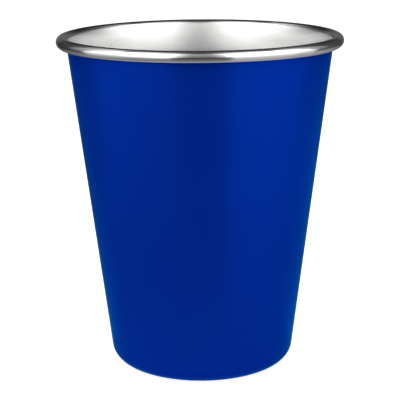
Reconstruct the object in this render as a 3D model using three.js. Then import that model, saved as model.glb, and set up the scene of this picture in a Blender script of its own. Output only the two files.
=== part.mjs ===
// A tapered drinking cup, drawn from one sheet of stainless steel and painted outside.
// Millimetres, +Z up. The origin is the centre of the ring that the cup stands on.
import * as THREE from "three";

const { degToRad, lerp } = THREE.MathUtils;

// Driving dimensions
const RIM_DIAMETER = 88; // across the outside of the rolled rim
const CUP_HEIGHT = 103.5; // from the table to the top of the rim
const WALL_LEAN = degToRad(7); // of the wall from upright, opening upwards
const SHEET_THICKNESS = 0.45;
const BEAD_DIAMETER = 3.6; // across the section of the rolled rim
const CURL_GAP = 0.35; // between the rolled rim's free edge and the wall
const FOOT_CORNER_RADIUS = 4.9; // outside of the bend from the wall to the foot ring
const FOOT_RING_WIDTH = 3.5; // flat ring that meets the table
const PANEL_RISE = 2; // of the base panel above the foot ring
const STEP_SLOPE = degToRad(60); // steepest part of the step from the foot ring to the panel
const COAT_THICKNESS = 0.1;
const COAT_FOOT_ANGLE = degToRad(18); // of the foot corner next to the foot ring that stays bare
const COAT_RIM_GAP = 0.3; // between the top of the coat and the rolled rim's free edge

// Facets
const FACETS_ROUND = 64; // round the cup's axis
const BEND_FACET_ANGLE = degToRad(15); // about this much turn of the sheet for each facet of a bend

// The sheet's section is drawn in the half plane (radius, height). Depth is measured into the sheet
// from its face inside the cup, so each bend gives the same arc on all three faces.
const INSIDE_FACE = 0;
const OUTSIDE_FACE = SHEET_THICKNESS;
const COAT_FACE = SHEET_THICKNESS + COAT_THICKNESS;

// Which side of the sheet a bend's centre lies on: its radius grows or shrinks with depth
const CENTRE_IN_CUP = 1;
const CENTRE_OUTSIDE = -1;

// Directions in the section
const UP = degToRad(90);
const OUT = 0;
const DOWN = degToRad(-90);
const wallUp = new THREE.Vector2(Math.sin(WALL_LEAN), Math.cos(WALL_LEAN));
const wallOut = new THREE.Vector2(Math.cos(WALL_LEAN), -Math.sin(WALL_LEAN));

// A bend of the sheet about a centre, from one angle to another. Its radius is that of the inside face.
function bend(centre, insideRadius, side, from, to) {
  const facets = Math.max(1, Math.round(Math.abs(to - from) / BEND_FACET_ANGLE));
  return { centre, insideRadius, side, from, to, facets };
}

// The points of a bend at a depth in the sheet, both ends included
function bendPoints({ centre, insideRadius, side, from, to, facets }, depth) {
  const radius = insideRadius + side * depth;
  return Array.from({ length: facets + 1 }, (_, i) => {
    const angle = lerp(from, to, i / facets);
    return new THREE.Vector2(Math.cos(angle), Math.sin(angle)).multiplyScalar(radius).add(centre);
  });
}

// The points of bends that follow straight on from each other, with each shared end once
const runPoints = (bends, depth) =>
  bends.flatMap((each, i) => bendPoints(each, depth).slice(i === 0 ? 0 : 1));

// Rolled rim: the sheet turns outwards over the top and down, and its free edge tucks in under the
// bead until only the curl gap is left to the wall.
const beadRadius = BEAD_DIAMETER / 2;
const beadCentre = new THREE.Vector2(RIM_DIAMETER / 2 - beadRadius, CUP_HEIGHT - beadRadius);
const wallToBeadCentre = beadRadius - SHEET_THICKNESS;
const tuckAngle = Math.acos((CURL_GAP - wallToBeadCentre) / beadRadius);
const curlStops = [Math.PI - WALL_LEAN, UP, OUT, -WALL_LEAN - tuckAngle];
const curl = curlStops
  .slice(1)
  .map((to, i) => bend(beadCentre, beadRadius, CENTRE_OUTSIDE, curlStops[i], to));
const curlEdge = runPoints(curl, INSIDE_FACE).at(-1);

// A point of the wall: a distance along it from the bead's centre, and a depth in the sheet
const wallPoint = (along, depth) =>
  beadCentre
    .clone()
    .addScaledVector(wallUp, along)
    .addScaledVector(wallOut, depth - beadRadius);

// Foot corner: an arc that touches both the table and the wall's outside face
const cornerCentre = (() => {
  const overWall = wallPoint(0, OUTSIDE_FACE - FOOT_CORNER_RADIUS);
  const drop = (overWall.y - FOOT_CORNER_RADIUS) / wallUp.y;
  return overWall.addScaledVector(wallUp, -drop);
})();
const cornerInsideRadius = FOOT_CORNER_RADIUS - SHEET_THICKNESS;
const coatStart = DOWN + COAT_FOOT_ANGLE;
const bareCorner = bend(cornerCentre, cornerInsideRadius, CENTRE_IN_CUP, DOWN, coatStart);
const coatedCorner = bend(cornerCentre, cornerInsideRadius, CENTRE_IN_CUP, coatStart, -WALL_LEAN);

// Step from the base panel down to the foot ring: two equal bends, one turned over
const sheetMiddle = SHEET_THICKNESS / 2;
const stepRadius = PANEL_RISE / (2 * (1 - Math.cos(STEP_SLOPE)));
const stepRun = 2 * stepRadius * Math.sin(STEP_SLOPE);
const stepFootCentre = new THREE.Vector2(
  cornerCentre.x - FOOT_RING_WIDTH,
  sheetMiddle + stepRadius,
);
const stepTopCentre = new THREE.Vector2(
  stepFootCentre.x - stepRun,
  PANEL_RISE + sheetMiddle - stepRadius,
);
const step = [
  bend(stepTopCentre, stepRadius + sheetMiddle, CENTRE_OUTSIDE, UP, UP - STEP_SLOPE),
  bend(stepFootCentre, stepRadius - sheetMiddle, CENTRE_IN_CUP, DOWN - STEP_SLOPE, DOWN),
];

// The coat ends on a line square to the wall, just under the curl's free edge
const coatTop = curlEdge.clone().sub(beadCentre).dot(wallUp) - COAT_RIM_GAP;

// A whole face of the sheet, from the axis to the rolled rim's free edge
function sheetFace(depth) {
  const stepPoints = runPoints(step, depth);
  const panelCentre = new THREE.Vector2(0, stepPoints[0].y);
  return [
    panelCentre,
    ...stepPoints,
    ...runPoints([bareCorner, coatedCorner], depth),
    wallPoint(coatTop, depth),
    ...runPoints(curl, depth),
  ];
}

// The part of a face that the coat covers, on the same points as the sheet under it
const coatedFace = (depth) => [...bendPoints(coatedCorner, depth), wallPoint(coatTop, depth)];

// A solid turned round +Z from its section
function turned(name, section, material) {
  const geometry = new THREE.LatheGeometry(section, FACETS_ROUND).rotateX(UP);
  const mesh = new THREE.Mesh(geometry, material);
  mesh.name = name;
  return mesh;
}

// One drawn sheet: base panel, foot ring, wall and rolled rim
function steelCup() {
  const section = [...sheetFace(OUTSIDE_FACE), ...sheetFace(INSIDE_FACE).reverse()];
  const steel = new THREE.MeshStandardMaterial({
    color: 0xc9c8c4,
    roughness: 0.28,
    metalness: 1,
  });
  return turned("steel_cup", section, steel);
}

// Paint film on the outside of the wall and the foot corner
function blueCoat() {
  const outside = coatedFace(COAT_FACE);
  const section = [...outside, ...coatedFace(OUTSIDE_FACE).reverse(), outside[0]];
  const paint = new THREE.MeshStandardMaterial({
    color: 0x01298c,
    roughness: 0.35,
    metalness: 0.3,
  });
  return turned("blue_coat", section, paint);
}

const cup = new THREE.Group();
cup.add(steelCup(), blueCoat());

export default cup;
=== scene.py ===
"""Looks of a tapered drinking cup, drawn from one steel sheet and painted blue outside.

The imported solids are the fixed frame: +Z up, the origin at the centre of the foot ring, lengths in
metres. The steel sheet and the paint film are turned again here from the same section as the solids,
with finer bends, rounded edges and their finishes, and are shown in a small studio.
"""

import logging
import math
from dataclasses import dataclass, field
from enum import Enum

import bpy
from bpy.types import Material, Node, NodeSocket, NodeTree, Object
from mathutils import Matrix, Vector

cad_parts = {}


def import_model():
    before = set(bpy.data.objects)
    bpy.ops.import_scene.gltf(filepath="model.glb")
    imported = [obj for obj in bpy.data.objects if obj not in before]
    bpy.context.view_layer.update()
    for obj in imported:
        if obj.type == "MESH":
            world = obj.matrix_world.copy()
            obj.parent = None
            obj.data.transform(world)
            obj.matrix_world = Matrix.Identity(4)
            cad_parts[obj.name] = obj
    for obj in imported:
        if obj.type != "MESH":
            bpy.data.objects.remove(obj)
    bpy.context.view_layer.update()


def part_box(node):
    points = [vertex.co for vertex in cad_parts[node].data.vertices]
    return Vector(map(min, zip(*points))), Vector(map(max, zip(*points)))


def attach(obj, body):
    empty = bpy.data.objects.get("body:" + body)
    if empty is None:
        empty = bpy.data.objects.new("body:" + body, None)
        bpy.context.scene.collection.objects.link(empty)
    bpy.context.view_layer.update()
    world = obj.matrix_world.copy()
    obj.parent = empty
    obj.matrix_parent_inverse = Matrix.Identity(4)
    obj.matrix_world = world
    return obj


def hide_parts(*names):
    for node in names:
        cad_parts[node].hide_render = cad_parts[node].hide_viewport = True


LOG = logging.getLogger("cup")

MM = 0.001
BODY = "root"

# Names of the attributes that the turned meshes carry
UV_NAME = "UVMap"
ALONG_NAME = "along_section"
BUFFED_NAME = "buffed"

# Name of the attribute that the reflection cards carry
TONE_NAME = "tone"

Colour = tuple[float, float, float]
Lengths = tuple[float, float, float]
Span = tuple[float, float]
Value = float | NodeSocket

# Height and grey level of the points up a wall, and radius, height and grey level of those along a card
WallTones = tuple[tuple[float, float], ...]
Profile = tuple[tuple[float, float, float], ...]


def add_node(tree: NodeTree, kind: str, inputs: dict | None = None, **settings: object) -> Node:
    """Add a node to a tree, with its settings, values and links.

    Args:
        tree: tree that gets the node.
        kind: Blender's type name of the node.
        inputs: value or linked output for each input, by its name or number.
        settings: properties of the node, set before its inputs.

    Returns:
        The new node.
    """
    node = tree.nodes.new(kind)
    for name, value in settings.items():
        setattr(node, name, value)
    for key, value in (inputs or {}).items():
        if isinstance(value, NodeSocket):
            tree.links.new(value, node.inputs[key])
        else:
            node.inputs[key].default_value = value
    return node


def math_node(tree: NodeTree, operation: str, *values: Value) -> NodeSocket:
    """Add a Math node on numbers or outputs, and return its result."""
    return add_node(tree, "ShaderNodeMath", dict(enumerate(values)), operation=operation).outputs[0]


def count_node(tree: NodeTree, operation: str, *values: Value) -> NodeSocket:
    """Add an Integer Math node on numbers or outputs, and return its result."""
    node = add_node(tree, "FunctionNodeIntegerMath", dict(enumerate(values)), operation=operation)
    return node.outputs[0]


def outwards(azimuth: float) -> Vector:
    """Return the level direction away from the axis, in degrees from the front towards the right."""
    turn = math.radians(azimuth)
    return Vector((math.sin(turn), -math.cos(turn), 0))


def grey(level: float) -> tuple[float, float, float, float]:
    """Return an opaque grey of that level."""
    return (level, level, level, 1.0)


class CentreSide(Enum):
    """Side of the sheet that the centre of a bend lies on: its radius grows or shrinks with depth."""

    IN_CUP = 1
    OUTSIDE = -1


@dataclass(frozen=True)
class Bend:
    """A round bend of the sheet, in the half plane of radius and height.

    Attributes:
        centre: centre of the bend.
        inside_radius: radius of the sheet's face inside the cup.
        side: side of the sheet that the centre lies on.
        start: angle where the bend starts.
        stop: angle where it stops.
    """

    centre: Vector
    inside_radius: float
    side: CentreSide
    start: float
    stop: float

    def point(self, angle: float, depth: float) -> Vector:
        """Return the point at an angle and at a depth from the inside face."""
        radius = self.inside_radius + self.side.value * depth
        return self.centre + radius * Vector((math.cos(angle), math.sin(angle)))

    def points(self, depth: float, step: float) -> list[Vector]:
        """Return the points of the bend at a depth.

        Args:
            depth: from the inside face.
            step: turn of each facet, about.

        Returns:
            Points at even angles, both ends included.
        """
        facets = max(1, round(abs(self.stop - self.start) / step))
        turn = (self.stop - self.start) / facets
        return [self.point(self.start + i * turn, depth) for i in range(facets + 1)]


@dataclass(frozen=True)
class CupSection:
    """Section of the drawn sheet and its paint film, in the half plane of radius and height.

    Depth is measured into the sheet from its face inside the cup, so that a bend gives the same arc on
    the inside face, the outside face and the paint.

    Attributes:
        rim_radius: to the outside of the rolled rim.
        height: from the table to the top of the rim.
        lean: of the wall from upright.
        sheet: thickness of the steel.
        bead_radius: of the rolled rim's section, outside.
        curl_gap: between the rolled rim's free edge and the wall.
        corner_radius: outside of the bend from the wall to the foot ring.
        foot_ring_width: of the flat ring that meets the table.
        panel_rise: of the base panel above the foot ring.
        step_slope: steepest part of the step up to the panel.
        film: thickness of the paint.
        film_foot_angle: part of the foot corner that stays bare.
        film_rim_gap: between the paint and the rolled rim's free edge.
        film_taper: width of the rounded edges of the paint.
        buffed_angles: angles on the rolled rim, counted from outwards over the top, where it is still
            satin and where it is fully buffed.
        bend_step: turn of the sheet for each facet of a bend.
        wall_rings: facets up the wall.
        panel_rings: facets across the base panel.
        edge_facets: facets of each rounded edge.
    """

    rim_radius: float
    height: float
    lean: float = math.radians(7)
    sheet: float = 0.45 * MM
    bead_radius: float = 1.8 * MM
    curl_gap: float = 0.35 * MM
    corner_radius: float = 4.9 * MM
    foot_ring_width: float = 3.5 * MM
    panel_rise: float = 2 * MM
    step_slope: float = math.radians(60)
    film: float = 0.1 * MM
    film_foot_angle: float = math.radians(18)
    film_rim_gap: float = 0.3 * MM
    film_taper: float = 0.2 * MM
    buffed_angles: Span = (math.radians(175), math.radians(140))
    bend_step: float = math.radians(5)
    wall_rings: int = 24
    panel_rings: int = 6
    edge_facets: int = 6

    @property
    def wall_up(self) -> Vector:
        """Direction up along the wall."""
        return Vector((math.sin(self.lean), math.cos(self.lean)))

    @property
    def wall_out(self) -> Vector:
        """Direction square to the wall, out of the cup."""
        return Vector((math.cos(self.lean), -math.sin(self.lean)))

    @property
    def bead_centre(self) -> Vector:
        """Centre of the rolled rim's section."""
        return Vector((self.rim_radius - self.bead_radius, self.height - self.bead_radius))

    def wall_point(self, along: float, depth: float) -> Vector:
        """Return the point of the wall at a distance up along it from the bead's centre."""
        return self.bead_centre + along * self.wall_up + (depth - self.bead_radius) * self.wall_out

    def curl(self) -> Bend:
        """Find the rolled rim.

        Returns:
            A bend that turns outwards until its free edge tucks in under the bead.
        """
        wall_to_centre = self.bead_radius - self.sheet
        tuck = math.acos((self.curl_gap - wall_to_centre) / self.bead_radius)
        return Bend(
            centre=self.bead_centre,
            inside_radius=self.bead_radius,
            side=CentreSide.OUTSIDE,
            start=math.pi - self.lean,
            stop=-self.lean - tuck,
        )

    def rounded_curl(self) -> Bend:
        """Find the rolled rim without the round of its free edge.

        Returns:
            The bend, shortened by that round.
        """
        whole = self.curl()
        rounding = self.sheet / 2 / (self.bead_radius - self.sheet / 2)
        return Bend(whole.centre, whole.inside_radius, whole.side, whole.start, whole.stop + rounding)

    def corner(self) -> Bend:
        """Find the foot corner.

        Returns:
            A bend that touches the table and the wall's outside face.
        """
        over_wall = self.wall_point(0, self.sheet - self.corner_radius)
        drop = (over_wall.y - self.corner_radius) / self.wall_up.y
        return Bend(
            centre=over_wall - drop * self.wall_up,
            inside_radius=self.corner_radius - self.sheet,
            side=CentreSide.IN_CUP,
            start=-math.pi / 2,
            stop=-self.lean,
        )

    def step(self) -> tuple[Bend, Bend]:
        """Find the step from the base panel down to the foot ring.

        Returns:
            Two equal bends, the upper one first.
        """
        middle = self.sheet / 2
        radius = self.panel_rise / (2 * (1 - math.cos(self.step_slope)))
        run = 2 * radius * math.sin(self.step_slope)
        foot_centre = Vector((self.corner().centre.x - self.foot_ring_width, middle + radius))
        top_centre = Vector((foot_centre.x - run, self.panel_rise + middle - radius))
        up = math.pi / 2
        return (
            Bend(top_centre, radius + middle, CentreSide.OUTSIDE, up, up - self.step_slope),
            Bend(foot_centre, radius - middle, CentreSide.IN_CUP, -up - self.step_slope, -up),
        )

    def along_wall(self, point: Vector) -> float:
        """Return how far up along the wall a point lies from the bead's centre."""
        return (point - self.bead_centre).dot(self.wall_up)

    def film_top(self) -> float:
        """Return the place of the paint's top edge along the wall."""
        curl = self.curl()
        return self.along_wall(curl.point(curl.stop, 0)) - self.film_rim_gap

    def wall_points(self, top: float, depth: float) -> list[Vector]:
        """Return the points up the wall at a depth, without the foot corner's last point.

        Args:
            top: place of the last point along the wall.
            depth: from the inside face.

        Returns:
            Points at even distances.
        """
        foot = self.along_wall(self.corner().centre)
        rise = (top - foot) / self.wall_rings
        return [self.wall_point(foot + (i + 1) * rise, depth) for i in range(self.wall_rings)]

    def face(self, depth: float) -> list[Vector]:
        """Return one face of the sheet.

        Args:
            depth: from the inside face.

        Returns:
            Points from the axis to the round of the rolled rim's free edge.
        """
        step_top, step_foot = self.step()
        panel_edge = step_top.point(step_top.start, depth)
        panel = [
            Vector((panel_edge.x * i / self.panel_rings, panel_edge.y)) for i in range(self.panel_rings)
        ]
        return [
            *panel,
            *step_top.points(depth, self.bend_step),
            *step_foot.points(depth, self.bend_step)[1:],
            *self.corner().points(depth, self.bend_step),
            *self.wall_points(0, depth),
            *self.rounded_curl().points(depth, self.bend_step)[1:],
        ]

    def free_edge(self) -> list[Vector]:
        """Return the round of the rolled rim's free edge.

        Returns:
            Points from the outside face to the inside face, without those on the faces.
        """
        curl = self.rounded_curl()
        tip = curl.point(curl.stop, self.sheet / 2)
        inwards = curl.point(curl.stop, self.sheet) - tip
        onwards = Vector((-inwards.y, inwards.x))
        turns = [math.pi * i / self.edge_facets for i in range(1, self.edge_facets)]
        return [tip + math.cos(turn) * inwards + math.sin(turn) * onwards for turn in turns]

    def sheet_outline(self) -> list[Vector]:
        """Return the whole outline of the steel, from the axis outside to the axis inside."""
        return [*self.face(self.sheet), *self.free_edge(), *reversed(self.face(0))]

    def buffed(self, point: Vector) -> float:
        """Return how far a point is buffed.

        Args:
            point: point of the sheet's outline.

        Returns:
            1 on the outside of the rolled rim, smoothly down to 0 inside the cup.
        """
        arm = point - self.bead_centre
        if arm.length > self.bead_radius + self.sheet / 2:
            return 0.0
        satin, shiny = self.buffed_angles
        share = min(max((satin - math.atan2(arm.y, arm.x)) / (satin - shiny), 0.0), 1.0)
        return share * share * (3 - 2 * share)

    def film_outline(self) -> list[Vector]:
        """Return the outline of the paint.

        Returns:
            Points up its outside and down its back on the steel, to where they started.
        """
        corner = self.corner()
        bare = corner.start + self.film_foot_angle
        taper_turn = self.film_taper / self.corner_radius
        painted = Bend(corner.centre, corner.inside_radius, corner.side, bare, corner.stop)
        full = Bend(corner.centre, corner.inside_radius, corner.side, bare + taper_turn, corner.stop)
        top = self.film_top()
        turns = [math.pi / 2 * i / self.edge_facets for i in range(self.edge_facets)]
        foot_edge = [
            corner.point(
                bare + taper_turn * (1 - math.cos(turn)), self.sheet + self.film * math.sin(turn)
            )
            for turn in turns
        ]
        top_edge = [
            self.wall_point(
                top - self.film_taper * (1 - math.sin(turn)), self.sheet + self.film * math.cos(turn)
            )
            for turn in turns[1:]
        ]
        back = [*painted.points(self.sheet, self.bend_step), *self.wall_points(top, self.sheet)]
        return [
            *foot_edge,
            *full.points(self.sheet + self.film, self.bend_step),
            *self.wall_points(top - self.film_taper, self.sheet + self.film),
            *top_edge,
            *reversed(back),
        ]


@dataclass
class TurnedSection:
    """Geometry Nodes that turn a section round the Z axis into a closed mesh.

    Attributes:
        steps_round: facets round the axis.
        merge_distance: points closer than this become one, on the axis and where the turn closes.
        tree: the nodes.
    """

    steps_round: int = 256
    merge_distance: float = 0.001 * MM
    tree: NodeTree = field(init=False)

    def __post_init__(self) -> None:
        """Build the node tree."""
        self.tree = bpy.data.node_groups.new("turned_section", "GeometryNodeTree")
        self.tree.is_modifier = True
        face = self.tree.interface
        face.new_socket("Section", in_out="INPUT", socket_type="NodeSocketGeometry")
        face.new_socket("Steps Round", in_out="INPUT", socket_type="NodeSocketInt")
        face.new_socket("Merge Distance", in_out="INPUT", socket_type="NodeSocketFloat")
        face.new_socket("Finish", in_out="INPUT", socket_type="NodeSocketMaterial")
        face.new_socket("Solid", in_out="OUTPUT", socket_type="NodeSocketGeometry")
        self._link_nodes()

    def _link_nodes(self) -> None:
        """Add the nodes: a grid of steps by section points, each moved to its place on the turn."""
        tree = self.tree
        given = add_node(tree, "NodeGroupInput").outputs
        steps = given["Steps Round"]
        size = add_node(
            tree, "GeometryNodeAttributeDomainSize", {"Geometry": given["Section"]}, component="MESH"
        )
        points = size.outputs["Point Count"]
        grid = add_node(
            tree,
            "GeometryNodeMeshGrid",
            {"Vertices X": count_node(tree, "ADD", steps, 1), "Vertices Y": points},
        )
        index = add_node(tree, "GeometryNodeInputIndex").outputs["Index"]
        step = count_node(tree, "DIVIDE_FLOOR", index, points)
        in_section = count_node(tree, "MODULO", index, points)

        position = add_node(tree, "GeometryNodeInputPosition")
        place = self._sampled(given["Section"], in_section, "FLOAT_VECTOR", position)
        split = add_node(tree, "ShaderNodeSeparateXYZ", {"Vector": place}).outputs
        angle = math_node(tree, "DIVIDE", math_node(tree, "MULTIPLY", step, math.tau), steps)
        turned = add_node(
            tree,
            "ShaderNodeCombineXYZ",
            {
                "X": math_node(tree, "MULTIPLY", split["X"], math_node(tree, "COSINE", angle)),
                "Y": math_node(tree, "MULTIPLY", split["X"], math_node(tree, "SINE", angle)),
                "Z": split["Z"],
            },
        )
        mesh = add_node(
            tree,
            "GeometryNodeStoreNamedAttribute",
            {"Geometry": grid.outputs["Mesh"], "Name": UV_NAME, "Value": grid.outputs["UV Map"]},
            data_type="FLOAT2",
            domain="CORNER",
        )
        for name in (ALONG_NAME, BUFFED_NAME):
            read = add_node(tree, "GeometryNodeInputNamedAttribute", {"Name": name}, data_type="FLOAT")
            value = self._sampled(given["Section"], in_section, "FLOAT", read)
            mesh = add_node(
                tree,
                "GeometryNodeStoreNamedAttribute",
                {"Geometry": mesh.outputs[0], "Name": name, "Value": value},
                data_type="FLOAT",
                domain="POINT",
            )
        mesh = add_node(
            tree, "GeometryNodeSetPosition", {"Geometry": mesh.outputs[0], "Position": turned.outputs[0]}
        )
        mesh = add_node(
            tree,
            "GeometryNodeMergeByDistance",
            {"Geometry": mesh.outputs[0], "Distance": given["Merge Distance"]},
        )
        mesh = add_node(tree, "GeometryNodeSetShadeSmooth", {"Geometry": mesh.outputs[0]})
        mesh = add_node(tree, "GeometryNodeRealizeInstances", {"Geometry": mesh.outputs[0]})
        mesh = add_node(
            tree, "GeometryNodeSetMaterial", {"Geometry": mesh.outputs[0], "Material": given["Finish"]}
        )
        add_node(tree, "NodeGroupOutput", {"Solid": mesh.outputs[0]})

    def _sampled(self, section: NodeSocket, index: NodeSocket, data_type: str, read: Node) -> NodeSocket:
        """Read a value at one point of the section.

        Args:
            section: the section's mesh.
            index: number of the point.
            data_type: type of the value.
            read: node that reads the value.

        Returns:
            The value there.
        """
        sample = add_node(
            self.tree,
            "GeometryNodeSampleIndex",
            {"Geometry": section, "Value": read.outputs[0], "Index": index},
            data_type=data_type,
            domain="POINT",
        )
        return sample.outputs["Value"]

    def turn(self, name: str, outline: list[Vector], buffed: list[float], finish: Material) -> Object:
        """Turn an outline into a finished piece.

        Args:
            name: name of the new object.
            outline: points of the section, in order.
            buffed: how far each of them is buffed.
            finish: material of the piece.

        Returns:
            A plain mesh object at the origin.
        """
        section = bpy.data.meshes.new(name + "_section")
        section.from_pydata([(p.x, 0, p.y) for p in outline], [], [])
        lengths = [0.0]
        for before, after in zip(outline, outline[1:]):
            lengths.append(lengths[-1] + (after - before).length)
        for attribute, values in ((ALONG_NAME, lengths), (BUFFED_NAME, buffed)):
            section.attributes.new(attribute, "FLOAT", "POINT").data.foreach_set("value", values)
        rough = bpy.data.objects.new(name + "_section", section)
        bpy.context.scene.collection.objects.link(rough)
        turning = rough.modifiers.new("turned_section", "NODES")
        turning.node_group = self.tree
        settings = {
            "Steps Round": self.steps_round,
            "Merge Distance": self.merge_distance,
            "Finish": finish,
        }
        for socket in self.tree.interface.items_tree:
            if socket.name in settings:
                turning[socket.identifier] = settings[socket.name]
        depsgraph = bpy.context.evaluated_depsgraph_get()
        mesh = bpy.data.meshes.new_from_object(rough.evaluated_get(depsgraph), depsgraph=depsgraph)
        bpy.data.objects.remove(rough)
        bpy.data.meshes.remove(section)
        mesh.name = name
        piece = bpy.data.objects.new(name, mesh)
        bpy.context.scene.collection.objects.link(piece)
        return piece


class EffectGroups:
    """Shader node groups that both finishes use.

    Attributes:
        drift: soft change of a value over the surface, between two levels.
        relief: fine relief, stretched by a scale along each axis.
    """

    # Levels that nearly all of a noise lies between, and how it is built up
    NOISE_RANGE = (0.25, 0.75)
    DRIFT_DETAIL = 3.0
    DRIFT_ROUGHNESS = 0.55
    RELIEF_ROUGHNESS = 0.6

    def __init__(self) -> None:
        """Build each group once."""
        self.drift = self._drift()
        self.relief = self._relief()

    @staticmethod
    def _new_group(name: str, inputs: dict[str, str], outputs: dict[str, str]) -> NodeTree:
        """Make an empty shader group.

        Args:
            name: name of the group.
            inputs: socket type of each input, by its name.
            outputs: socket type of each output, by its name.

        Returns:
            The group's tree.
        """
        tree = bpy.data.node_groups.new(name, "ShaderNodeTree")
        for socket, kind in inputs.items():
            tree.interface.new_socket(socket, in_out="INPUT", socket_type=kind)
        for socket, kind in outputs.items():
            tree.interface.new_socket(socket, in_out="OUTPUT", socket_type=kind)
        return tree

    def _drift(self) -> NodeTree:
        """Build the group for a soft change of a value.

        Returns:
            The group's tree.
        """
        tree = self._new_group(
            "surface_drift",
            {
                "Vector": "NodeSocketVector",
                "Scale": "NodeSocketFloat",
                "Low": "NodeSocketFloat",
                "High": "NodeSocketFloat",
            },
            {"Value": "NodeSocketFloat"},
        )
        given = add_node(tree, "NodeGroupInput").outputs
        noise = add_node(
            tree,
            "ShaderNodeTexNoise",
            {
                "Vector": given["Vector"],
                "Scale": given["Scale"],
                "Detail": self.DRIFT_DETAIL,
                "Roughness": self.DRIFT_ROUGHNESS,
            },
        )
        low, high = self.NOISE_RANGE
        spread = add_node(
            tree,
            "ShaderNodeMapRange",
            {
                "Value": noise.outputs["Fac"],
                "From Min": low,
                "From Max": high,
                "To Min": given["Low"],
                "To Max": given["High"],
            },
        )
        add_node(tree, "NodeGroupOutput", {"Value": spread.outputs["Result"]})
        return tree

    def _relief(self) -> NodeTree:
        """Build the group for fine relief.

        Returns:
            The group's tree.
        """
        tree = self._new_group(
            "fine_relief",
            {"Vector": "NodeSocketVector", "Stretch": "NodeSocketVector", "Detail": "NodeSocketFloat"},
            {"Height": "NodeSocketFloat"},
        )
        given = add_node(tree, "NodeGroupInput").outputs
        stretched = add_node(
            tree, "ShaderNodeVectorMath", {0: given["Vector"], 1: given["Stretch"]}, operation="MULTIPLY"
        )
        noise = add_node(
            tree,
            "ShaderNodeTexNoise",
            {
                "Vector": stretched.outputs[0],
                "Scale": 1.0,
                "Detail": given["Detail"],
                "Roughness": self.RELIEF_ROUGHNESS,
            },
        )
        add_node(tree, "NodeGroupOutput", {"Height": noise.outputs["Fac"]})
        return tree

    def drifting(self, tree: NodeTree, place: NodeSocket, patch: float, levels: Span) -> NodeSocket:
        """Let a value drift over a surface.

        Args:
            tree: tree of the material.
            place: coordinates on the surface.
            patch: size of the patches.
            levels: lowest and highest value.

        Returns:
            The value.
        """
        low, high = levels
        inputs = {"Vector": place, "Scale": 1 / patch, "Low": low, "High": high}
        return add_node(tree, "ShaderNodeGroup", inputs, node_tree=self.drift).outputs[0]

    def toned(
        self, tree: NodeTree, place: NodeSocket, colour: Colour, patch: float, spread: float
    ) -> NodeSocket:
        """Let the tone of a colour drift over a surface.

        Args:
            tree: tree of the material.
            place: coordinates on the surface.
            colour: mean colour.
            patch: size of the patches.
            spread: share by which the tone drifts up and down.

        Returns:
            The colour.
        """
        tone = self.drifting(tree, place, patch, (1 - spread, 1 + spread))
        scaled = add_node(tree, "ShaderNodeVectorMath", {0: colour, "Scale": tone}, operation="SCALE")
        return scaled.outputs[0]

    def relieved(self, tree: NodeTree, place: NodeSocket, sizes: Lengths, detail: float) -> NodeSocket:
        """Give a surface fine relief.

        Args:
            tree: tree of the material.
            place: coordinates on the surface.
            sizes: of the grain along each axis.
            detail: octaves of finer grain in it.

        Returns:
            The height, from 0 to 1.
        """
        stretch = tuple(1 / size for size in sizes)
        inputs = {"Vector": place, "Stretch": stretch, "Detail": detail}
        return add_node(tree, "ShaderNodeGroup", inputs, node_tree=self.relief).outputs[0]


def new_material(name: str) -> tuple[Material, NodeTree, Node]:
    """Make a material with only an output node.

    Args:
        name: name of the material.

    Returns:
        The material, its tree and its output node.
    """
    material = bpy.data.materials.new(name)
    material.use_nodes = True
    tree = material.node_tree
    tree.nodes.clear()
    return material, tree, add_node(tree, "ShaderNodeOutputMaterial")


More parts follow.
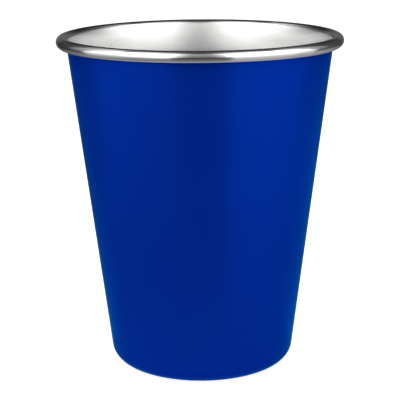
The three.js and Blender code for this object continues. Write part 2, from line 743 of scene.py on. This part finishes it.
@dataclass(frozen=True)
class SteelFinish:
    """Bare stainless steel: a satin inside with fine drawing lines, and a buffed rim.

    Attributes:
        colour: mean colour of the steel.
        edge_tint: share of the reflection that is left at a glancing angle.
        tone_spread: share by which the tone drifts up and down.
        tone_patch: size of the patches in which it drifts.
        satin_roughness: lowest and highest roughness inside and under the foot. Both are below
            about 0.274, because a range across it left small marks in the render.
        satin_patch: size of the patches in which it drifts.
        buffed_roughness: lowest and highest roughness on the rolled rim.
        buffed_patch: size of the patches in which it drifts.
        line_length: of the fine lines, along the section.
        line_width: of the fine lines, round the axis.
        line_depth: of the fine lines.
        line_detail: octaves of finer lines between them.
        line_loss: share of their depth that buffing takes away.
        spread: how far the lines spread a reflection round the axis rather than along the section,
            from 0 to 1.
    """

    colour: Colour = (0.65, 0.647, 0.642)
    edge_tint: float = 0.55
    tone_spread: float = 0.03
    tone_patch: float = 25 * MM
    satin_roughness: Span = (0.24, 0.27)
    satin_patch: float = 12 * MM
    buffed_roughness: Span = (0.08, 0.12)
    buffed_patch: float = 9 * MM
    line_length: float = 16 * MM
    line_width: float = 0.3 * MM
    line_depth: float = 0.0015 * MM
    line_detail: float = 3.0
    line_loss: float = 0.85
    spread: float = 0.96

    def material(self, effects: EffectGroups) -> Material:
        """Build the material.

        Args:
            effects: shared shader groups.

        Returns:
            The steel's material.
        """
        material, tree, output = new_material("bare_steel")
        place = add_node(tree, "ShaderNodeTexCoord").outputs["Object"]
        split = add_node(tree, "ShaderNodeSeparateXYZ", {"Vector": place}).outputs
        along = add_node(tree, "ShaderNodeAttribute", attribute_name=ALONG_NAME).outputs["Fac"]
        section_place = add_node(
            tree, "ShaderNodeCombineXYZ", {"X": split["X"], "Y": split["Y"], "Z": along}
        ).outputs[0]
        buffed = add_node(tree, "ShaderNodeAttribute", attribute_name=BUFFED_NAME).outputs["Fac"]
        satin = effects.drifting(tree, section_place, self.satin_patch, self.satin_roughness)
        polish = effects.drifting(tree, section_place, self.buffed_patch, self.buffed_roughness)
        roughness = add_node(
            tree, "ShaderNodeMix", {"Factor": buffed, "A": satin, "B": polish}, data_type="FLOAT"
        ).outputs["Result"]
        colour = effects.toned(tree, section_place, self.colour, self.tone_patch, self.tone_spread)
        line_sizes = (self.line_width, self.line_width, self.line_length)
        lines = effects.relieved(tree, section_place, line_sizes, self.line_detail)
        loss = math_node(tree, "MULTIPLY", buffed, self.line_loss)
        height = math_node(tree, "MULTIPLY", lines, math_node(tree, "SUBTRACT", 1.0, loss))
        bump = add_node(tree, "ShaderNodeBump", {"Height": height, "Distance": self.line_depth})
        round_axis = add_node(tree, "ShaderNodeTangent", direction_type="RADIAL", axis="Z")
        steel = add_node(
            tree,
            "ShaderNodeBsdfPrincipled",
            {
                "Base Color": colour,
                "Metallic": 1.0,
                "Specular Tint": grey(self.edge_tint),
                "Roughness": roughness,
                "Anisotropic": self.spread,
                "Tangent": round_axis.outputs[0],
                "Normal": bump.outputs[0],
            },
        )
        tree.links.new(steel.outputs[0], output.inputs["Surface"])
        return material


@dataclass(frozen=True)
class PaintFinish:
    """Smooth satin gloss paint with a faint orange peel.

    Attributes:
        colour: mean colour of the paint.
        tone_spread: share by which the tone drifts up and down.
        tone_patch: size of the patches in which it drifts.
        roughness: lowest and highest roughness. Both are above about 0.274, because a range across it
            left small marks in the render.
        roughness_patch: size of the patches in which it drifts.
        sparkle: share of the paint that reflects as coloured metal.
        gloss: specular level of the rest, which leaves all reflections to the sparkle.
        edge_tint: tint of the reflections at a glancing angle.
        peel_width: of the waves of the orange peel.
        peel_depth: of those waves.
        peel_detail: octaves of finer waves in them.
    """

    colour: Colour = (0.0009, 0.0277, 0.346)
    tone_spread: float = 0.03
    tone_patch: float = 30 * MM
    roughness: Span = (0.275, 0.305)
    roughness_patch: float = 14 * MM
    sparkle: float = 0.50
    gloss: float = 0.0
    edge_tint: Colour = (0.02, 0.70, 1.0)
    peel_width: float = 1.4 * MM
    peel_depth: float = 0.002 * MM
    peel_detail: float = 1.0

    def material(self, effects: EffectGroups) -> Material:
        """Build the material.

        Args:
            effects: shared shader groups.

        Returns:
            The paint's material.
        """
        material, tree, output = new_material("blue_paint")
        place = add_node(tree, "ShaderNodeTexCoord").outputs["Object"]
        roughness = effects.drifting(tree, place, self.roughness_patch, self.roughness)
        colour = effects.toned(tree, place, self.colour, self.tone_patch, self.tone_spread)
        peel_sizes = (self.peel_width, self.peel_width, self.peel_width)
        peel = effects.relieved(tree, place, peel_sizes, self.peel_detail)
        bump = add_node(tree, "ShaderNodeBump", {"Height": peel, "Distance": self.peel_depth})
        paint = add_node(
            tree,
            "ShaderNodeBsdfPrincipled",
            {
                "Base Color": colour,
                "Metallic": self.sparkle,
                "Roughness": roughness,
                "Specular IOR Level": self.gloss,
                "Specular Tint": (*self.edge_tint, 1.0),
                "Normal": bump.outputs[0],
            },
        )
        tree.links.new(paint.outputs[0], output.inputs["Surface"])
        return material


@dataclass
class PaintedCup:
    """The cup: one drawn steel sheet, and the paint film on its outside.

    Attributes:
        section: outlines of the sheet and the film.
        turning: nodes that turn an outline into a mesh.
        effects: shared shader groups.
        steel: finish of the bare sheet.
        paint: finish of the film.
    """

    section: CupSection
    turning: TurnedSection
    effects: EffectGroups
    steel: SteelFinish = field(default_factory=SteelFinish)
    paint: PaintFinish = field(default_factory=PaintFinish)

    def build(self) -> list[Object]:
        """Build and place both pieces.

        Returns:
            The sheet and the film.
        """
        steel = self.steel.material(self.effects)
        paint = self.paint.material(self.effects)
        sheet = self._turned("drawn_steel_sheet", self.section.sheet_outline(), steel)
        film = self._turned("blue_paint_film", self.section.film_outline(), paint)
        self._stand_for(sheet, "steel_cup", "bare_steel")
        self._stand_for(film, "blue_coat", "blue_paint")
        return [sheet, film]

    def _turned(self, name: str, outline: list[Vector], finish: Material) -> Object:
        """Turn an outline of the section into a piece with a finish, and return it."""
        buffed = [self.section.buffed(point) for point in outline]
        return self.turning.turn(name, outline, buffed, finish)

    @staticmethod
    def _stand_for(piece: Object, node: str, slot: str) -> None:
        """Let a piece ride on the cup and stand for a solid.

        Args:
            piece: the piece.
            node: the solid's node.
            slot: the record's material slot for it. Not used.
        """
        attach(piece, BODY)
        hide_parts(node)


@dataclass(frozen=True)
class Softbox:
    """A strip of a soft panel lamp that stands beside the cup and faces its axis.

    Attributes:
        name: name of the strip.
        azimuth: degrees from the front towards the right.
        distance: from the axis.
        width: of the strip.
        bottom: height of its lower edge.
        top: height of its upper edge.
        radiance: brightness of its face, where 1 is white.
    """

    name: str
    azimuth: float
    distance: float
    width: float
    bottom: float
    top: float
    radiance: float

    def build(self) -> None:
        """Add the strip, hidden from the camera."""
        height = self.top - self.bottom
        lamp = bpy.data.lights.new(self.name, "AREA")
        lamp.shape = "RECTANGLE"
        lamp.size = self.width
        lamp.size_y = height
        lamp.energy = self.radiance * math.pi * self.width * height
        holder = bpy.data.objects.new(self.name, lamp)
        bpy.context.scene.collection.objects.link(holder)
        away = outwards(self.azimuth)
        centre = self.distance * away + Vector((0, 0, self.bottom + height / 2))
        facing = away.to_track_quat("Z", "Y").to_matrix().to_4x4()
        holder.matrix_world = Matrix.Translation(centre) @ facing
        holder.visible_camera = False


@dataclass(frozen=True)
class ReflectionCard:
    """A glowing card in shades of grey, bent round the cup: a painted reflection on the steel and the
    paint.

    Attributes:
        name: name of the card.
        azimuths: where it starts and ends round the cup, in degrees from the front towards the right.
        profile: radius, height and grey level along its section where it starts, in order.
        end_profile: the same where it ends, if it changes on the way.
        step: degrees round the cup for each facet.
    """

    name: str
    azimuths: Span
    profile: Profile
    end_profile: Profile | None = None
    step: float = 2.0

    def build(self) -> None:
        """Add the card, which only reflections show."""
        first, last = self.azimuths
        facets = math.ceil((last - first) / self.step)
        width = len(self.profile)
        points = []
        tones = []
        for i in range(facets + 1):
            share = i / facets
            away = outwards(first + (last - first) * share)
            ends = zip(self.profile, self.end_profile or self.profile)
            across = [Vector(start).lerp(Vector(stop), share) for start, stop in ends]
            points += [radius * away + Vector((0, 0, height)) for radius, height, _ in across]
            tones += [tone for _, _, tone in across]
        starts = [i * width + j for i in range(facets) for j in range(width - 1)]
        mesh = bpy.data.meshes.new(self.name)
        mesh.from_pydata(points, [], [(at, at + 1, at + width + 1, at + width) for at in starts])
        mesh.attributes.new(TONE_NAME, "FLOAT", "POINT").data.foreach_set("value", tones)
        mesh.materials.append(self._material())
        card = bpy.data.objects.new(self.name, mesh)
        bpy.context.scene.collection.objects.link(card)
        # Only reflections see the card: it glows as a painted reflection, lights no diffuse surface and
        # casts no shadow.
        card.visible_camera = False
        card.visible_diffuse = False
        card.visible_shadow = False

    def _material(self) -> Material:
        """Build the card's material.

        Returns:
            A material that glows with the card's tones, whatever light falls on it.
        """
        material, tree, output = new_material(self.name)
        tone = add_node(tree, "ShaderNodeAttribute", attribute_name=TONE_NAME).outputs["Fac"]
        face = add_node(tree, "ShaderNodeEmission", {"Color": grey(1.0), "Strength": tone})
        tree.links.new(face.outputs[0], output.inputs["Surface"])
        return material


@dataclass(frozen=True)
class Studio:
    """Pale floor, soft lamps, glowing cards that paint the reflections, white surroundings and the
    camera.

    Attributes:
        floor_radius: of the round floor.
        floor_corners: of its outline.
        floor_drop: of the floor under the foot ring.
        floor_colour: grey level of the floor as it lights the cup.
        floor_shade: grey level of the floor as it is seen, which shows the shadow.
        floor_glow: white that it shows besides, so that the shadow stays faint.
        ambient: level of the light from all round.
        lamp_distance: of the lamps from the axis.
        lamp_width: of the lamps.
        table_radii: where the tones of the table are given, from the cup outwards.
        table_top: height of the cards on the table.
        front_wall: radius of the cards in front of the cup and beside it.
        lamp_wall: radius of the cards under the lamps.
        back_wall: radius of the cards behind the cup.
        camera_place: where the camera stands.
        camera_tilt: downwards, in radians.
        camera_roll: anticlockwise as seen from behind the camera, in radians.
        camera_lens: focal length in millimetres.
        camera_sensor: width of the sensor in millimetres.
        camera_near: nearest distance that the camera shows.
    """

    floor_radius: float = 4.0
    floor_corners: int = 64
    floor_drop: float = 0.02 * MM
    floor_colour: float = 0.8
    floor_shade: float = 0.6
    floor_glow: float = 0.78
    ambient: float = 0.66
    lamp_distance: float = 0.35
    lamp_width: float = 0.50
    table_radii: Lengths = (0.028, 0.10, 0.20)
    table_top: float = 0.0005
    front_wall: float = 0.45
    lamp_wall: float = 0.36
    back_wall: float = 0.55
    camera_place: Lengths = (-0.35 * MM, -381.62 * MM, 146.78 * MM)
    camera_tilt: float = 0.2462
    camera_roll: float = -0.0078
    camera_lens: float = 111.865
    camera_sensor: float = 36.0
    camera_near: float = 0.01

    def lamps(self) -> list[Softbox]:
        """Return the lamps, one on each side of the camera.

        Returns:
            Three strips for each lamp, of which the middle one is brightest.
        """
        strips = (
            ("softbox", 0.24, 0.80, 1.47),
            ("softbox_middle", 0.18, 0.24, 1.80),
            ("softbox_foot", 0.15, 0.18, 1.60),
        )
        return [
            Softbox(
                name=f"{side}_{strip}",
                azimuth=azimuth,
                distance=self.lamp_distance,
                width=self.lamp_width,
                bottom=bottom,
                top=top,
                radiance=radiance,
            )
            for side, azimuth in (("left", -55), ("right", 56))
            for strip, bottom, top, radiance in strips
        ]

    def _sector(
        self,
        name: str,
        azimuths: Span,
        table: tuple[float, float, float, float],
        radius: float,
        wall: WallTones,
        end_wall: WallTones | None = None,
    ) -> ReflectionCard:
        """Return a card that covers the table in one sector, and whatever stands behind it.

        Args:
            name: name of the card.
            azimuths: where the sector starts and ends.
            table: grey levels of the table, from the cup to the wall.
            radius: of the wall.
            wall: height and grey level up the wall where the sector starts.
            end_wall: the same where it ends, if it changes on the way.

        Returns:
            The card.
        """
        radii = (*self.table_radii, radius)
        near = [(out, self.table_top, tone) for out, tone in zip(radii, table)]
        first = [(radius, height, tone) for height, tone in wall]
        last = [(radius, height, tone) for height, tone in end_wall or wall]
        return ReflectionCard(name, azimuths, (*near, *first), (*near, *last))

    def cards(self) -> list[ReflectionCard]:
        """Return the cards that the cup reflects.

        Returns:
            Cards all round the cup and above it, bright under the lamps and mostly darker elsewhere.
        """
        # The cards glow at these grey levels and only reflections show them: painted highlights and
        # painted dark bands on the rim, the inside and the paint.
        front_table = (0.56, 0.24, 0.15, 0.10)
        front_mid = ((0.01, 0.07), (0.13, 0.08), (0.17, 0.30), (0.21, 0.28), (0.42, 0.32), (0.90, 0.65))
        front_edge = ((0.01, 0.06), (0.02, 0.11), (0.06, 1.00), (0.19, 1.10), (0.42, 1.30), (0.90, 1.40))
        return [
            self._sector(
                "front_card", azimuths=(-8, 10), table=front_table,
                radius=self.front_wall, wall=front_mid,
            ),
            self._sector(
                "front_left_card", azimuths=(-22, -8), table=front_table,
                radius=self.front_wall, wall=front_edge, end_wall=front_mid,
            ),
            self._sector(
                "front_right_card", azimuths=(10, 24), table=front_table,
                radius=self.front_wall, wall=front_mid, end_wall=front_edge,
            ),
            self._sector(
                "left_card", azimuths=(-60, -22), table=(0.58, 0.29, 0.33, 0.68),
                radius=self.lamp_wall, wall=((0.02, 0.84), (0.08, 1.50), (0.15, 1.90)),
            ),
            self._sector(
                "left_side_card", azimuths=(-97, -60), table=(0.58, 0.30, 0.45, 0.80),
                radius=self.lamp_wall, wall=((0.02, 0.81), (0.10, 1.24), (0.15, 1.24)),
            ),
            self._sector(
                "left_wing_card", azimuths=(-118, -97), table=(0.72, 0.42, 0.28, 0.08),
                radius=self.front_wall,
                wall=(
                    (0.01, 0.06), (0.10, 0.13), (0.16, 0.30), (0.30, 0.50),
                    (0.42, 0.75), (0.60, 1.15), (0.80, 1.19),
                ),
            ),
            self._sector(
                "left_back_card", azimuths=(-150, -118), table=(0.70, 0.40, 0.28, 0.06),
                radius=self.back_wall, wall=((0.01, 0.05), (0.46, 0.09), (0.70, 0.65), (0.95, 0.81)),
            ),
            self._sector(
                "right_card", azimuths=(24, 78), table=(0.50, 0.52, 0.76, 0.85),
                radius=self.lamp_wall, wall=((0.02, 1.02), (0.08, 1.50), (0.15, 1.90)),
            ),
            self._sector(
                "right_side_card", azimuths=(78, 97), table=(0.56, 0.44, 0.58, 0.78),
                radius=self.lamp_wall, wall=((0.02, 0.76), (0.10, 1.24), (0.15, 1.24)),
            ),
            self._sector(
                "right_wing_card", azimuths=(97, 114), table=(0.72, 0.50, 0.55, 0.20),
                radius=self.front_wall,
                wall=(
                    (0.01, 0.13), (0.10, 0.15), (0.18, 0.32), (0.30, 0.42),
                    (0.42, 0.60), (0.60, 0.95), (0.80, 0.97),
                ),
            ),
            self._sector(
                "right_back_card", azimuths=(114, 150), table=(0.70, 0.45, 0.50, 0.16),
                radius=self.back_wall, wall=((0.01, 0.11), (0.46, 0.06), (0.70, 0.27), (0.95, 0.39)),
            ),
            self._sector(
                "back_card", azimuths=(150, 210), table=(0.45, 0.27, 0.22, 0.30),
                radius=self.back_wall,
                wall=(
                    (0.01, 0.29), (0.14, 0.26), (0.23, 0.22), (0.25, 0.11),
                    (0.29, 0.11), (0.32, 0.03), (0.55, 0.04), (0.95, 0.06),
                ),
            ),
            ReflectionCard(
                "left_top_card", azimuths=(-115, -30), profile=((0.36, 0.80, 1.30), (0.12, 0.94, 0.49))
            ),
            ReflectionCard(
                "right_top_card", azimuths=(28, 110), profile=((0.36, 0.80, 1.19), (0.12, 0.94, 0.43))
            ),
            ReflectionCard(
                "top_card", azimuths=(0, 360), profile=((0.60, 0.95, 0.09), (0.0, 0.95, 0.09))
            ),
        ]

    def build(self) -> None:
        """Build the whole studio."""
        self._floor()
        self._world()
        self._camera()
        for lamp in self.lamps():
            lamp.build()
        for card in self.cards():
            card.build()
        bpy.context.scene.view_settings.view_transform = "Standard"

    @staticmethod
    def _seen_directly(tree: NodeTree) -> NodeSocket:
        """Tell what the camera sees from what only gives light.

        Args:
            tree: tree of the material or the world.

        Returns:
            1 for what the camera sees, also in a mirror or through glass, and else 0.
        """
        path = add_node(tree, "ShaderNodeLightPath").outputs
        seen = math_node(tree, "MAXIMUM", path["Is Camera Ray"], path["Is Glossy Ray"])
        return math_node(tree, "MAXIMUM", seen, path["Is Transmission Ray"])

    def _floor(self) -> None:
        """Add the pale floor, which keeps the cup's shadow."""
        turns = [math.tau * i / self.floor_corners for i in range(self.floor_corners)]
        ring = [
            (self.floor_radius * math.cos(turn), self.floor_radius * math.sin(turn), -self.floor_drop)
            for turn in turns
        ]
        mesh = bpy.data.meshes.new("floor")
        mesh.from_pydata(ring, [], [tuple(range(self.floor_corners))])
        floor = bpy.data.objects.new("floor", mesh)
        bpy.context.scene.collection.objects.link(floor)
        material, tree, output = new_material("pale_floor")
        lit = add_node(tree, "ShaderNodeBsdfDiffuse", {"Color": grey(self.floor_colour)})
        shaded = add_node(tree, "ShaderNodeBsdfDiffuse", {"Color": grey(self.floor_shade)})
        glow = add_node(tree, "ShaderNodeEmission", {"Color": grey(1.0), "Strength": self.floor_glow})
        bright = add_node(tree, "ShaderNodeAddShader", {0: shaded.outputs[0], 1: glow.outputs[0]})
        face = add_node(
            tree,
            "ShaderNodeMixShader",
            {"Fac": self._seen_directly(tree), 1: lit.outputs[0], 2: bright.outputs[0]},
        )
        tree.links.new(face.outputs[0], output.inputs["Surface"])
        mesh.materials.append(material)

    def _world(self) -> None:
        """Set the surroundings: white where they are seen, and dimmer as light."""
        world = bpy.data.worlds.new("studio")
        world.use_nodes = True
        tree = world.node_tree
        tree.nodes.clear()
        level = add_node(
            tree,
            "ShaderNodeMix",
            {"Factor": self._seen_directly(tree), "A": self.ambient, "B": 1.0},
            data_type="FLOAT",
        )
        sky = add_node(
            tree, "ShaderNodeBackground", {"Color": grey(1.0), "Strength": level.outputs["Result"]}
        )
        add_node(tree, "ShaderNodeOutputWorld", {"Surface": sky.outputs[0]})
        bpy.context.scene.world = world

    def _camera(self) -> None:
        """Add the camera at the photograph's viewing angle."""
        camera = bpy.data.cameras.new("camera")
        camera.lens = self.camera_lens
        camera.sensor_width = self.camera_sensor
        camera.clip_start = self.camera_near
        holder = bpy.data.objects.new("camera", camera)
        bpy.context.scene.collection.objects.link(holder)
        tilt = Matrix.Rotation(math.pi / 2 - self.camera_tilt, 4, "X")
        facing = tilt @ Matrix.Rotation(self.camera_roll, 4, "Z")
        holder.matrix_world = Matrix.Translation(self.camera_place) @ facing
        bpy.context.scene.camera = holder


def main() -> None:
    """Load the solids, dress them, set the studio and note the sizes."""
    logging.basicConfig(level=logging.INFO, format="%(message)s")
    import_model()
    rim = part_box("steel_cup")[1]
    cup = PaintedCup(CupSection(rim.x, rim.z), TurnedSection(), EffectGroups())
    for piece in cup.build():
        LOG.info("%s: %d faces", piece.name, len(piece.data.polygons))
    Studio().build()


if __name__ == "__main__":
    main()
